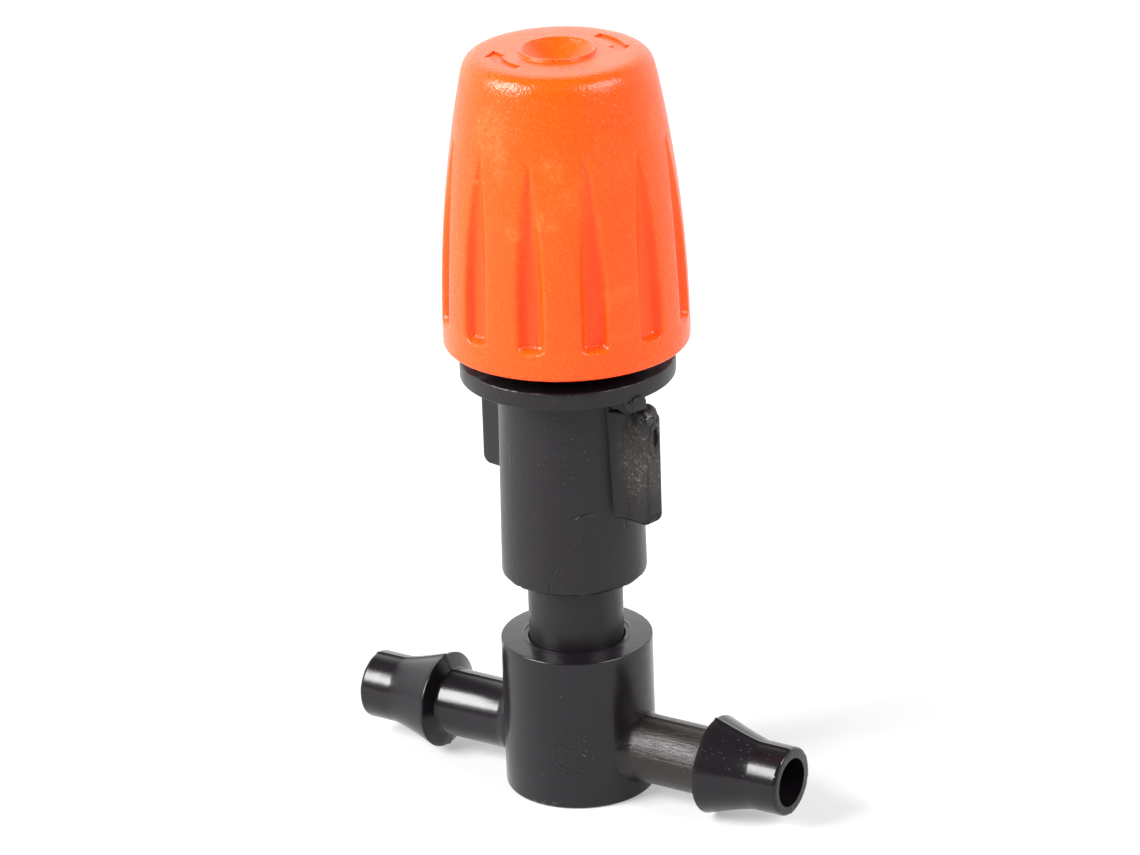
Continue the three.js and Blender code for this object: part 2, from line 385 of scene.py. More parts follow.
capSizes = {
    "rimR": 7.66,
    "sideLean": 0.1, "topPull": 1.87, "sideBend": 2.2,  # how much the side comes in, and how late
    "steps": 144,  # columns round the cap, twelve to a flute
    "flutes": 12, "turn": 15.5,  # from +X to one flute
    "lipRise": 0.22, "lipR": 2.38, "dishR": 2.19, "dishDepth": 0.88, "dishRings": 10, "outletR": 0.5,
    "flatR": 3.7, "shoulder": 0.95,
    "mouthR": 6.1, "threadR": 5.75, "threadCrestR": 5.2, "stepRise": 8.36, "boreR": 4.5, "ceilingRise": 16.76,
    "ceilingR": 3.2, "grooveGap": 0.05,
    "threadLift": 3.65, "threadTurns": 3.3,  # its start above the nozzle's flange
    # heights of the side's rings above the rim, close together where the flutes begin
    "rings": [0.9, 1.3, 1.52, 1.64, 1.74, 1.84, 1.94, 2.06, 2.2, 2.5] + [3.1 + 0.6 * i for i in range(19)]
    + [14.4, 15.2, 16, 16.8, 17.3],
    "fluteFoot": 1.6, "fluteTop": 13.7, "archFoot": 3.9, "floorFoot": 1.9,  # heights above the rim
    "archBend": (2.2, 0.8),  # how the flute's half width closes to its pointed top
    "fluteHalf": 0.84, "fluteWall": 0.2, "fluteEdge": 0.17, "fluteFloorR": 7.06, "fluteLean": 0.042,
    "footSlope": 0.5, "footRound": 0.42,
    "arrowR": 3.8, "arrowTurn": 83, "arrowSweep": 46, "arrowWide": 0.72, "arrowHead": 0.8, "arrowDepth": 0.13,
    "arrowPoints": 14,
    "nickTurn": -62, "nickR": 0.34, "nickTipR": 0.1, "nickTall": 0.6, "nickLift": 0.32,
}
threadSizes = {"pitch": 1.5, "threadRoot": 0.9, "threadCrest": 0.35, "sunk": 0.3, "stepsPerTurn": 64}


# The cap's side leans in slowly near the rim and faster near the shoulder.
def capSideR(rise, height):
    part = rise / height
    return capSizes["rimR"] - capSizes["sideLean"] * part - capSizes["topPull"] * part ** capSizes["sideBend"]


# Half width and depth of a flute at a height above the rim.
def fluteSection(rise, sideR):
    s = capSizes
    up = rise - s["fluteFoot"]
    foot = min(1, up / s["footSlope"])
    foot = foot * foot * (3 - 2 * foot)
    arch = max(0, (rise - s["archFoot"]) / (s["fluteTop"] - s["archFoot"]))
    rounded = math.sqrt(1 - (1 - min(1, up / s["footRound"])) ** 2)
    late, blunt = s["archBend"]
    half = s["fluteHalf"] * (1 - arch ** late) ** blunt * rounded
    floorR = s["fluteFloorR"] - s["fluteLean"] * (rise - s["floorFoot"])
    depth = max(0, sideR - floorR) * foot
    roundness = min(1, arch * 1.25)
    return half, depth, roundness


# Presses all twelve flutes in at once: the same column of every flute is moved in and round together.
def pressFlutes(obj):
    s = capSizes
    perFlute = s["steps"] // s["flutes"]
    columnTurn = 360 / s["steps"]
    ribTurn = 180 / s["flutes"]
    rimZ = capRimZ()
    height = capHeight()
    groups = {}
    for v in openMesh(obj).verts:
        rise = v.co.z / mm - rimZ
        r = v.co.xy.length / mm
        if s["fluteFoot"] < rise < s["fluteTop"] and r > capSideR(rise, height) - 0.01:
            column = round(math.degrees(math.atan2(v.co.y, v.co.x)) / columnTurn)
            offset = (column + perFlute // 2) % perFlute - perFlute // 2
            groups.setdefault((round(rise, 3), offset), []).append(v.index)
    bpy.ops.mesh.select_mode(type="VERT")
    for (rise, offset), members in groups.items():
        sideR = capSideR(rise, height)
        half, depth, roundness = fluteSection(rise, sideR)
        wall = min(s["fluteWall"], half * 0.4)
        column = abs(offset)
        # where each column goes, from the flute's middle to the rib's, and what part of the depth it gets
        across = [0, (half - wall) * 0.5, half - wall, half, half + s["fluteEdge"]]
        edge = math.degrees(across[-1] / sideR)
        across = [math.degrees(a / sideR) for a in across] + [(edge + ribTurn) / 2, ribTurn]
        sink = [1, 1 - 0.2 * roundness, 0.97 - 0.45 * roundness, 0.07, 0, 0, 0]
        grow = 1 - depth * sink[column] / sideR
        turn = math.copysign(across[column], offset) - offset * columnTurn if offset else 0
        mesh = bmesh.from_edit_mesh(obj.data)
        mesh.verts.ensure_lookup_table()
        bpy.ops.mesh.select_all(action="DESELECT")
        for index in members:
            mesh.verts[index].select_set(True)
        bmesh.update_edit_mesh(obj.data)
        if sink[column]:
            bpy.ops.transform.resize(value=(grow, grow, 1), center_override=(0, 0, 0))
        if abs(turn) > 1e-4 and across[column] < ribTurn:
            bpy.ops.transform.rotate(value=-math.radians(turn), orient_axis="Z", center_override=(0, 0, 0))
    closeMesh()


def capRimZ():
    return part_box("adjuster_cap")[0].z / mm


def capHeight():
    low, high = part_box("adjuster_cap")
    return (high.z - low.z) / mm - capSizes["lipRise"]


# A curved arrow as a cutter: a small upright face spun clockwise, with a three-sided head at its end.
def arrowCutter(topZ):
    s = capSizes
    tall = 1
    middleZ = topZ - s["arrowDepth"] + tall / 2
    clearSelection()
    bpy.ops.mesh.primitive_plane_add(size=1, rotation=(math.radians(90), 0, 0))
    arrow = bpy.context.object
    arrow.scale = (s["arrowWide"] * mm, tall * mm, 1)
    arrow.location = (s["arrowR"] * mm, 0, middleZ * mm)
    bpy.ops.object.transform_apply(location=True, rotation=True, scale=True)
    bpy.ops.object.mode_set(mode="EDIT")
    bpy.ops.mesh.select_all(action="SELECT")
    sweep = math.radians(s["arrowSweep"])
    bpy.ops.mesh.spin(steps=s["arrowPoints"], angle=sweep, center=(0, 0, 0), axis=(0, 0, 1))
    closeMesh()
    tidyMesh(arrow)
    clearSelection()
    x, y, z = onWall(s["arrowR"], -s["arrowSweep"], middleZ + 0.001)
    bpy.ops.mesh.primitive_cylinder_add(vertices=3, radius=s["arrowHead"] * mm, depth=(tall + 0.01) * mm,
                                        location=(x * mm, y * mm, z * mm), rotation=(0, 0, math.pi - sweep))
    head = bpy.context.object
    bpy.ops.object.transform_apply(location=True, rotation=True)
    join(arrow, head)
    turnAboutZ(arrow, s["arrowTurn"])
    return arrow


# The nick that the gate leaves in the front of the dish's lip.
def lipNick(topZ):
    s = capSizes
    x, y, z = onWall(s["lipR"], s["nickTurn"], topZ + s["nickLift"])
    clearSelection()
    bpy.ops.mesh.primitive_cone_add(vertices=5, radius1=s["nickTipR"] * mm, radius2=s["nickR"] * mm,
                                    depth=s["nickTall"] * mm, location=(x * mm, y * mm, z * mm),
                                    rotation=(0, 0, math.radians(s["nickTurn"])))
    nick = bpy.context.object
    bpy.ops.object.transform_apply(location=True, rotation=True)
    return nick


def makeCap():
    s = capSizes
    rimZ = capRimZ()
    height = capHeight()
    topZ = rimZ + height
    side = [(capSideR(rise, height), rimZ + rise, 0) for rise in s["rings"]]
    ceilingZ = rimZ + s["ceilingRise"]
    stepZ = rimZ + s["stepRise"]
    ringLow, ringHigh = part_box("seal_ring")
    grooveLow = ringLow.z / mm - s["grooveGap"]
    grooveHigh = ringHigh.z / mm + s["grooveGap"]
    grooveR = ringHigh.x / mm + s["grooveGap"]
    dish = []
    for i in range(s["dishRings"] - 1, 0, -1):
        r = s["outletR"] + (s["dishR"] - s["outletR"]) * i / s["dishRings"]
        dish.append((r, topZ - s["dishDepth"] + (s["dishDepth"] + s["lipRise"]) * (r / s["dishR"]) ** 2, 0))
    outletZ = topZ - s["dishDepth"] + 0.05
    corners = [
        (s["mouthR"], rimZ, 0.15), (s["rimR"] - 0.01, rimZ, 0.24), *side,
        (capSideR(height, height), topZ, s["shoulder"]), (s["flatR"], topZ, 0), (s["lipR"] + 0.3, topZ, 0),
        (s["lipR"], topZ, 0.1), (s["lipR"] - 0.04, topZ + s["lipRise"], 0.08),
        (s["dishR"] - 0.02, topZ + s["lipRise"], 0.06), *dish,
        (s["outletR"], outletZ, 0.06), (s["outletR"], ceilingZ, 0.06), (s["ceilingR"], ceilingZ, 0),
        (s["boreR"] - 0.6, ceilingZ, 0.1), (s["boreR"], ceilingZ - 0.6, 0.1),
        (s["boreR"], grooveHigh, 0.05), (grooveR, grooveHigh, 0.05), (grooveR, grooveLow, 0.05),
        (s["boreR"], grooveLow, 0.05), (s["boreR"], stepZ, 0.12), (s["threadR"], stepZ - 0.5, 0.1),
        (s["threadR"], rimZ + 0.9, 0.1), (s["mouthR"], rimZ + 0.5, 0.1),
    ]
    cap = ringStack("orange_cap", softOutline(corners), s["steps"], reshape=pressFlutes)
    turnAboutZ(cap, s["turn"])
    applyModifier(cap, "SUBSURF", levels=1, render_levels=1)
    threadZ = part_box("nozzle_body")[1].z / mm - nozzleSizes["neckTall"] + s["threadLift"]
    join(cap, threadRidge(threadSizes, s["threadR"], s["threadCrestR"], threadZ, s["threadTurns"]))
    for turn in (0, 180):
        arrow = arrowCutter(topZ)
        turnAboutZ(arrow, turn)
        cut(cap, arrow)
    cut(cap, lipNick(topZ))
    smooth(cap, 40)
    return cap


nozzleSizes = {
    "steps": 128, "plugR": 3.0, "plugRings": (9.6, 10.6), "barrelBottomR": 4.57, "barrelTopR": 4.38,
    "barrelZ": 14.6, "flangeR": 6.7, "flangeZ": 27.87, "flangeTopZ": 29.02,
    "barrelFoot": 0.8, "barrelHead": 0.6, "barrelRings": (2, 3, 3.8, 5.5, 7.5, 9.5),
    "neckTall": 13.98, "threadLift": 1.4, "threadTurns": 3.9,
    "neckR": 4.95, "crestR": 5.55, "shoulderZ": 37.2, "smoothR": 4.3, "plugBoreR": 1.6, "barrelBoreR": 2.2,
    "coreR": 2.55, "coreZ": 38.5,
    "wingBottoms": (19.4, 20.2), "wingTop": 27.15, "wingThick": 1.4, "wingReach": 7.0, "wingTurn": -10.5,
    "wingFlat": 1.6,  # the even part, out from where the wing starts to widen
    "rootSteps": [(0.3, 1.05), (0.3, 1.08), (0.25, 1.12), (0.2, 1.16), (0.15, 1.18), (0.9, 1.05)],
    "knobSink": 0.45, "knobR": 0.72, "knobWide": 1.39, "knobRound": 0.45,
    "topRound": 0.5, "footRound": 0.6, "edgeRound": 0.24,
    "blockReach": 5.75, "blockDrop": 1.6, "blockRound": 0.05,
    "earStart": 6.1, "earReach": 6.86, "earFoot": 27.25, "earTop": 28.15, "earWide": 1.2, "earTurn": -8.5,
    "earRound": 0.5,
    # the scar's section before it is stretched to an oval, and how far it is stretched
    "scarRing": [(0.5, -0.3, 0), (0.5, 0.05, 0.03), (0.36, 0.05, 0.03), (0.31, 0.0, 0.02), (0.08, -0.02, 0),
                 (0.08, -0.3, 0)],
    "scarZ": 24.95, "scarWide": 0.95, "scarTall": 2.3,
    "pitR": 0.5, "pitDeep": 0.5, "pitWide": 0.42, "pitTall": 1.3, "pitAside": 0.1, "pitUp": 0.2,
    "overlap": 0.1,  # how far the wings and their blocks run into the flange
    # how uneven the moulded edges are
    "footRagged": 0.035, "flangeRagged": 0.02, "knobRagged": 0.03, "scarRagged": 0.02, "pitRagged": 0.04,
}


# One wing, grown from a block: corners bevelled, then widened step by step towards the barrel.
def makeWing(bottomZ):
    s = nozzleSizes
    root = s["wingReach"] - s["wingFlat"]
    topZ = s["wingTop"] - s["knobSink"]
    tall = topZ - bottomZ
    wing = block((s["wingFlat"], s["wingThick"], tall), (root + s["wingFlat"] / 2, 0, bottomZ + tall / 2))
    bpy.ops.object.mode_set(mode="EDIT")
    outer = s["wingReach"] * mm
    near = 0.01 * mm
    for height, offset in ((topZ, s["topRound"]), (bottomZ, s["footRound"])):
        choose(wing, "EDGE", lambda e: all(abs(v.co.x - outer) < near and abs(v.co.z - height * mm) < near
                                           for v in e.verts))
        bpy.ops.mesh.bevel(offset=offset * mm, segments=8)
    half = s["wingThick"] / 2 * mm
    choose(wing, "EDGE", lambda e: edgeMiddle(e).x > (root + 0.01) * mm
           and all(abs(abs(v.co.y) - half) < near for v in e.verts))
    bpy.ops.mesh.bevel(offset=s["edgeRound"] * mm, segments=4)
    choose(wing, "FACE", lambda f: f.normal.x < -0.99 and abs(f.calc_center_median().x - root * mm) < near)
    for step, widen in s["rootSteps"]:
        bpy.ops.mesh.extrude_region_move(TRANSFORM_OT_translate={"value": (-step * mm, 0, 0)})
        bpy.ops.transform.resize(value=(1, widen, 1), center_override=(0, 0, 0))
    # the part next to the barrel runs up into the flange
    choose(wing, "VERT", lambda v: v.co.x < (root - 0.1) * mm and v.co.z > topZ * mm - near)
    bpy.ops.transform.translate(value=(0, 0, (s["flangeZ"] + s["overlap"] - topZ) * mm))
    closeMesh()
    tidyMesh(wing)
    return wing


# The round knob at the top of a wing.
def makeKnob(seed):
    s = nozzleSizes
    r = s["knobR"]
    clearSelection()
    place = ((s["wingReach"] - r - 0.02) * mm, 0, (s["wingTop"] - r) * mm)
    bpy.ops.mesh.primitive_cylinder_add(vertices=40, radius=r * mm, depth=s["knobWide"] * mm, location=place,
                                        rotation=(math.radians(90), 0, 0))
    knob = bpy.context.object
    bpy.ops.object.transform_apply(location=True, rotation=True)
    applyModifier(knob, "BEVEL", width=s["knobRound"] * mm, segments=6, limit_method="ANGLE")
    ragged(knob, s["knobRagged"], seed, lambda v: v.co.z > (s["wingTop"] - r) * mm)
    return knob


# What ties a wing to the flange: a block under it, or an ear with a round top on its rim.
def makeWingTab(start, reach, wide, low, topZ, soft):
    near = 0.01 * mm
    tab = block((reach - start, wide, topZ - low), ((start + reach) / 2, 0, (low + topZ) / 2))
    bpy.ops.object.mode_set(mode="EDIT")
    choose(tab, "EDGE", lambda e: all(abs(v.co.z - topZ * mm) < near for v in e.verts)
           and abs(e.verts[0].co.x - e.verts[1].co.x) > 0.3 * mm)
    bpy.ops.mesh.bevel(offset=soft * mm, segments=8)
    choose(tab, "EDGE", lambda e: all(abs(v.co.x - reach * mm) < near for v in e.verts)
           and abs(e.verts[0].co.z - e.verts[1].co.z) > near)
    bpy.ops.mesh.bevel(offset=0.1 * mm, segments=3)
    closeMesh()
    tidyMesh(tab)
    return tab


# The oval gate scar on the end of one wing: a low ring with a rough floor.
def makeGateScar():
    s = nozzleSizes
    scar = ringStack("scar", softOutline(s["scarRing"], 2), 40)
    pick(scar)
    scar.scale = (s["scarTall"], s["scarWide"], 1)
    scar.rotation_euler = (0, math.radians(90), 0)
    scar.location = (s["wingReach"] * mm, 0, s["scarZ"] * mm)
    bpy.ops.object.transform_apply(location=True, rotation=True, scale=True)
    bpy.ops.object.mode_set(mode="EDIT")
    choose(scar, "VERT", lambda v: v.co.x > (s["wingReach"] - 0.01) * mm)
    bpy.ops.transform.vertex_random(offset=s["scarRagged"] * mm, uniform=0.3, normal=0.6, seed=4)
    closeMesh()
    tidyMesh(scar)
    return scar


# The pit inside the scar, off its middle.
def gatePit():
    s = nozzleSizes
    clearSelection()
    place = (s["wingReach"] * mm, s["pitAside"] * mm, (s["scarZ"] + s["pitUp"]) * mm)
    bpy.ops.mesh.primitive_cylinder_add(vertices=24, radius=s["pitR"] * mm, depth=s["pitDeep"] * mm,
                                        location=place, rotation=(0, math.radians(90), 0))
    pit = bpy.context.object
    bpy.ops.object.transform_apply(location=False, rotation=True)
    pit.scale = (1, s["pitWide"], s["pitTall"])
    bpy.ops.object.transform_apply(location=True, scale=True)
    ragged(pit, s["pitRagged"], 7, lambda v: True)
    return pit


def makeNozzle():
    s = nozzleSizes
    low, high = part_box("nozzle_body")
    tipZ, neckZ = low.z / mm, high.z / mm
    footZ = s["barrelZ"] + s["barrelFoot"]
    headZ = s["flangeZ"] - s["barrelHead"]
    footR, headR = s["barrelBottomR"] - 0.01, s["barrelTopR"] + 0.01
    lean = (footR - headR) / (headZ - footZ)
    rings = [(footR - rise * lean, footZ + rise, 0) for rise in s["barrelRings"]]
    corners = [
        (s["plugBoreR"], tipZ, 0.1), (s["plugR"], tipZ, 0.3), *((s["plugR"], z, 0) for z in s["plugRings"]),
        (s["plugR"], s["barrelZ"], 0.06), (s["barrelBottomR"], s["barrelZ"], 0.3),
        (footR, footZ, 0), *rings, (headR, headZ, 0), (s["barrelTopR"], s["flangeZ"], 0.15),
        (s["flangeR"], s["flangeZ"], 0.14), (s["flangeR"], s["flangeTopZ"], 0.14),
        (s["neckR"] + 0.4, s["flangeTopZ"], 0), (s["neckR"], s["flangeTopZ"], 0.15),
        (s["neckR"], s["shoulderZ"], 0.25), (s["smoothR"], s["shoulderZ"], 0.1), (s["smoothR"], neckZ, 0.25),
        (s["coreR"], neckZ, 0.1), (s["coreR"], s["coreZ"], 0.03), (s["barrelBoreR"], s["coreZ"], 0.05),
        (s["barrelBoreR"], s["barrelZ"] + 2, 0.2), (s["plugBoreR"], s["barrelZ"] + 1, 0.2),
    ]
    nozzle = ringStack("black_nozzle", softOutline(corners), s["steps"])
    barrelFoot = (s["barrelZ"] + 0.12) * mm
    ragged(nozzle, s["footRagged"], 2, lambda v: v.co.xy.length > 4.2 * mm and v.co.z < barrelFoot)
    flangeEdge = (s["flangeTopZ"] - 0.08) * mm
    ragged(nozzle, s["flangeRagged"], 5, lambda v: v.co.xy.length > 6.5 * mm and v.co.z > flangeEdge)
    for i, bottomZ in enumerate(s["wingBottoms"]):
        wing = makeWing(bottomZ)
        join(wing, makeKnob(i + 1))
        join(wing, makeWingTab(s["barrelTopR"] - 0.4, s["blockReach"], s["wingThick"] - 0.03,
                               s["wingTop"] - s["blockDrop"], s["flangeZ"] + s["overlap"], s["blockRound"]))
        if i == 0:
            join(wing, makeGateScar())
            cut(wing, gatePit())
        turnAboutZ(wing, s["wingTurn"] + 180 * i)
        join(nozzle, wing)
        ear = makeWingTab(s["earStart"], s["earReach"], s["earWide"],
                          s["earFoot"], s["earTop"], s["earRound"])
        turnAboutZ(ear, s["wingTurn"] + s["earTurn"] + 180 * i)
        join(nozzle, ear)
    threadZ = s["flangeTopZ"] + s["threadLift"]
    join(nozzle, threadRidge(threadSizes, s["neckR"], s["crestR"], threadZ, s["threadTurns"]))
    smooth(nozzle, 35)
    return nozzle


teeSizes = {
    "armSteps": 96, "barrelSteps": 128, "boreSteps": 64,
    "barrelR": 4.8, "armZ": 3.2, "stemR": 2.18, "barbR": 3.15, "barbX": 10.05, "noseX": 13.4, "noseR": 2.2,
    "stemRoot": [(0.3, 4.3), (0.08, 4.75), (0, 5.1)],  # how much wider it is, and where
    "boreR": 1.5, "socketR": 3.05, "socketZ": 5.2, "lipR": 3.42, "lipRise": 0.025, "lipSink": 0.04,
    "flash": 0.07, "mismatch": 0.1, "mouthRagged": 0.012,
    "past": 1,  # how far a cutter runs past what it cuts
}


# Both arms in one turned shape along X, with the flash line of the mould raised along top and bottom.
def makeArms():
    s = teeSizes
    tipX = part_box("tee_connector")[1].x / mm
    flare = []
    for i in range(1, 10):
        t = i / 10
        start, middle, end = (1 - t) ** 2, 2 * t * (1 - t), t * t
        r = s["barbR"] * start + (s["noseR"] + 0.1) * middle + s["noseR"] * end
        x = s["barbX"] * start + (s["noseX"] - 0.9) * middle + s["noseX"] * end
        flare.append((r, x, 0))
    half = [
        *((s["stemR"] + wider, x, 0) for wider, x in s["stemRoot"]),
        (s["stemR"], s["barbX"] - 0.42, 0.12), (s["barbR"], s["barbX"], 0.09), *flare,
        (s["noseR"], s["noseX"], 0), (s["noseR"], tipX, 0.26), (s["boreR"] * 0.5, tipX, 0),
    ]
    points = softOutline([(r, -x, soft) for r, x, soft in reversed(half)] + half, 4, loop=False)
    arms = ringStack("arms", points, s["armSteps"], loop=False)
    pick(arms)
    bpy.ops.object.mode_set(mode="EDIT")
    choose(arms, "VERT", lambda v: abs(v.co.y) < 0.01 * mm and 5 * mm < abs(v.co.z) < (tipX - 0.05) * mm
           and abs(v.co.x) > 2 * mm)
    bpy.ops.transform.resize(value=(1 + s["flash"] / 2.3, 1, 1), center_override=(0, 0, 0))
    closeMesh()
    tip = (tipX - 0.22) * mm
    ragged(arms, s["mouthRagged"], 3, lambda v: abs(v.co.z) > tip and v.co.xy.length > 1.2 * mm)
    pick(arms)
    arms.rotation_euler = (0, math.radians(90), 0)
    arms.location = (0, 0, s["armZ"] * mm)
    bpy.ops.object.transform_apply(location=True, rotation=True)
    return arms


# A tool turned about the line of the arms, moved back or forth by aside.
def alongX(name, outline, aside):
    tool = ringStack(name, outline, teeSizes["boreSteps"], loop=False)
    pick(tool)
    tool.rotation_euler = (0, math.radians(90), 0)
    tool.location = (0, aside * mm, teeSizes["armZ"] * mm)
    bpy.ops.object.transform_apply(location=True, rotation=True)
    return tool


def makeTee():
    s = teeSizes
    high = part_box("tee_connector")[1]
    topZ = high.z / mm
    tipX = high.x / mm
    lipZ, insideZ = topZ + s["lipRise"], topZ - s["lipSink"]
    corners = [
        (1.0, 0, 0), (s["barrelR"] - 0.02, 0, 0.25), (s["barrelR"] + 0.02, s["armZ"], 0),
        (s["barrelR"], topZ - 0.6, 0), (s["barrelR"], topZ, 0.1), (s["lipR"] + 0.08, topZ, 0.03),
        (s["lipR"] + 0.03, lipZ, 0.03), (s["lipR"] - 0.05, lipZ, 0.03), (s["lipR"] - 0.12, insideZ, 0),
        (1.0, insideZ, 0),
    ]
    tee = ringStack("black_tee", softOutline(corners, loop=False), s["barrelSteps"], loop=False)
    join(tee, makeArms())
    mouth = [
        (0.8, s["socketZ"], 0), (s["socketR"], s["socketZ"], 0.15), (s["socketR"], topZ - 0.1, 0.05),
        (s["socketR"] + 0.09, topZ + 0.01, 0), (s["socketR"] + 0.09, topZ + s["past"], 0),
        (0.8, topZ + s["past"], 0),
    ]
    cut(tee, ringStack("socket", softOutline(mouth, loop=False), s["barrelSteps"], loop=False))
    drop = [(s["boreR"], s["armZ"]), (s["boreR"], s["socketZ"] + s["past"])]
    cut(tee, ringStack("drop", drop, s["boreSteps"], loop=False))
    cut(tee, alongX("waterway", [(s["boreR"], -tipX - s["past"]), (s["boreR"], tipX + s["past"])], 0))
    # the mould's two halves don't quite meet: the front half of each mouth is a little larger
    for end in (-1, 1):
        mouth = [(s["boreR"] + 0.02, end * (tipX - 1.2)), (s["boreR"] + 0.1, end * (tipX + s["past"]))]
        mouth.sort(key=lambda point: point[1])
        cut(tee, alongX("mouth", mouth, -s["mismatch"]))
    smooth(tee, 32)
    return tee


coreSizes = {
    "steps": 96, "bodyR": 2.48, "shoulderDrop": 3.4, "noseDrop": 0.6,
    "coneTall": 0.8, "coneR": 1.9, "noseR": 1.5, "pinR": 0.42, "pinTipR": 0.12,
    "sideSlot": (1.0, 0.8, 8), "sideSlotR": 2.5, "sideSlots": 4,
    "swirlSlot": (2.4, 0.4, 0.9), "swirlSlotAt": (1.4, 0.85), "swirlSlots": 3,
    "slotRound": 0.08,
}


def makeCore():
    s = coreSizes
    low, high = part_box("swirl_core")
    foot, point = low.z / mm, high.z / mm
    shoulder, nose = point - s["shoulderDrop"], point - s["noseDrop"]
    outline = softOutline([
        (0.05, foot, 0), (s["bodyR"], foot, 0.15), (s["bodyR"], shoulder, 0.2),
        (s["coneR"], nose - s["coneTall"], 0.2), (s["noseR"], nose, 0.12), (s["pinR"], nose, 0.05),
        (s["pinTipR"], point, 0.05), (0.03, point, 0),
    ], 3, loop=False)
    core = ringStack("swirl_insert", outline, s["steps"], loop=False)
    slots = [(s["sideSlot"], (s["sideSlotR"], 0, (foot + shoulder) / 2), i * 360 / s["sideSlots"])
             for i in range(s["sideSlots"])]
    slots += [(s["swirlSlot"], (*s["swirlSlotAt"], nose), i * 360 / s["swirlSlots"])
              for i in range(s["swirlSlots"])]
    for size, middle, turn in slots:
        slot = block(size, middle)
        applyModifier(slot, "BEVEL", width=s["slotRound"] * mm, segments=2)
        turnAboutZ(slot, turn)
        cut(core, slot)
    smooth(core, 35)
    return core


ringSizes = {"steps": 128, "sectionSteps": 32, "seam": 0.012, "inset": 0.02}


# The ring's section is a circle with a thin mould line round its outside and inside.
def makeRing():
    s = ringSizes
    low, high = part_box("seal_ring")
    section = (high.z - low.z) / 2 / mm
    middleR = high.x / mm - section
    middleZ = (high.z + low.z) / 2 / mm
    outline = []
    for i in range(s["sectionSteps"]):
        angle = i / s["sectionSteps"] * 2 * math.pi
        grow = section + (s["seam"] if i in (0, s["sectionSteps"] // 2) else -s["inset"])
        outline.append((middleR + grow * math.cos(angle), middleZ + grow * math.sin(angle)))
    ring = ringStack("rubber_ring", outline, s["steps"])
    smooth(ring, 60)
    return ring


capLook = {
    # the darker orange is painted shade for the sunken flutes
    "orange": (0.95, 0.057, 0.001), "pale": (1.0, 0.2, 0.05), "fluteShadeOrange": (0.9, 0.04, 0.001),
    "specular": 0.27, "roughness": 0.24, "grain": 0.17, "grainDepth": 0.042, "waveDepth": 0.012,
    "speckle": 0.13, "dots": 0.5, "fluteShadeStrength": 0.6,
    # pale rubbed places: turn, height, half width, half height, strength
    "rubbed": [(-100, 45.3, 1.7, 2.0, 0.3), (-91, 43.6, 0.7, 1.6, 0.3), (-62, 43.4, 1.1, 1.2, 0.25),
               (-66, 40.2, 1.2, 0.9, 0.28), (-82, 39.4, 0.8, 0.7, 0.3), (-34, 43.5, 2.4, 2.6, 0.12),
               (150, 44, 1.6, 1.3, 0.3), (60, 41, 1.2, 1.8, 0.3)],
    "ridged": (6.9, -107, 42.4, (1, 0.3, 0.9)),  # radius, turn, height, size
}


def capPlastic(paint):
    s = capLook
    rimZ = capRimZ()
    capTall = capHeight()
    z = paint.axes()[2]
    cloud = paint.fade(paint.noise(0.5, 3, 0.6, warp=0.3), 0.25, 0.8) * 0.75
    smears = paint.fade(paint.noise(3.5, 4, 0.6, warp=0.6), 0.55, 0.75) * 0.1
    for turn, height, wide, tall, strength in s["rubbed"]:
        r = capSideR(height - rimZ, capTall)
        smears = smears + paint.wallPatch(r, turn, height, (1, wide, tall)) * cloud * strength
    hairs = paint.fade(paint.noise(0.12, 3, 0.6, paint.stretched((1, 1, 0.12), (0, 20, 0))), 0.66, 0.74)
    smears = smears + hairs * smears * 2
    ridges = paint.fade(paint.noise(0.1, 1, 0.5, paint.stretched((0.1, 0.1, 1))), 0.52, 0.6)
    smears = smears + ridges * paint.wallPatch(*s["ridged"]) * 0.4
    dots = paint.specks(0.8, 0.05, 0.14) * paint.fade(z, 29 * mm, 42 * mm)
    grain = paint.noise(s["grain"], 2)
    speckle = paint.fade(grain, 0.5, 0.7) * s["speckle"]
    colour = paint.blend(smears + speckle + dots * s["dots"], s["orange"], s["pale"])
    # painted shade: the flutes are darkened in colour the further they sink below the side, where less light
    # reaches them
    part = (z - rimZ * mm) * (1 / (capTall * mm))
    side = capSizes["rimR"] - part ** capSizes["sideBend"] * capSizes["topPull"] - part * capSizes["sideLean"]
    r = paint.length(paint.stretched((1000, 1000, 0)))
    sunk = paint.fade(side - r, 0.12, 0.5) * paint.fade(z, 31 * mm, 32 * mm) * paint.fade(z, 47 * mm, 45 * mm)
    colour = paint.blend(sunk * s["fluteShadeStrength"], colour, s["fluteShadeOrange"])
    bump = paint.bump(grain, s["grainDepth"])
    bump = paint.bump(paint.noise(2.2, 2), s["waveDepth"], bump)
    roughness = paint.noise(1.4, 3) * 0.1 + s["roughness"] - 0.05 + smears * 0.3
    return {"Base Color": colour, "Roughness": roughness, "Normal": bump}


nozzleLook = {
    # scuffed is the pale of the wing's lint and also of the painted glints on its rough patch
    "black": (0.0056, 0.0042, 0.0058), "dust": (0.1, 0.075, 0.055), "scuffed": (0.26, 0.23, 0.18),
    # crease is painted shade, darkening the knit line and the creases
    "crease": (0.001, 0.001, 0.001), "specular": 0.32, "roughness": 0.36,
    # soft patches: radius, turn, height, size
    "chatter": (4.4, -55, 23.4, (2, 2.6, 3.4)),
    "melted": (6.6, nozzleSizes["wingTurn"], 26.1, (0.9, 1.3, 1.0)),
    "rough": (6.0, nozzleSizes["wingTurn"], 23.8, (1.8, 1.8, 4.0)),
    "knitArc": (4.43, -47, 18.9), "knitR": 1.15, "knitWide": 0.06, "knitLow": 0.75,
    # radius, turn, height, slant, length, width
    "creases": [(4.5, -75, 16.1, -28, 1.4, 0.04), (4.55, -78, 15.0, 8, 0.9, 0.05),
                (4.5, -12, 18.9, 10, 0.9, 0.06)],
    "scratches": [(4.46, -55.5, 18.3, -35, 2.0, 0.04), (4.38, -115, 23.2, 3, 2.0, 0.05)],
}


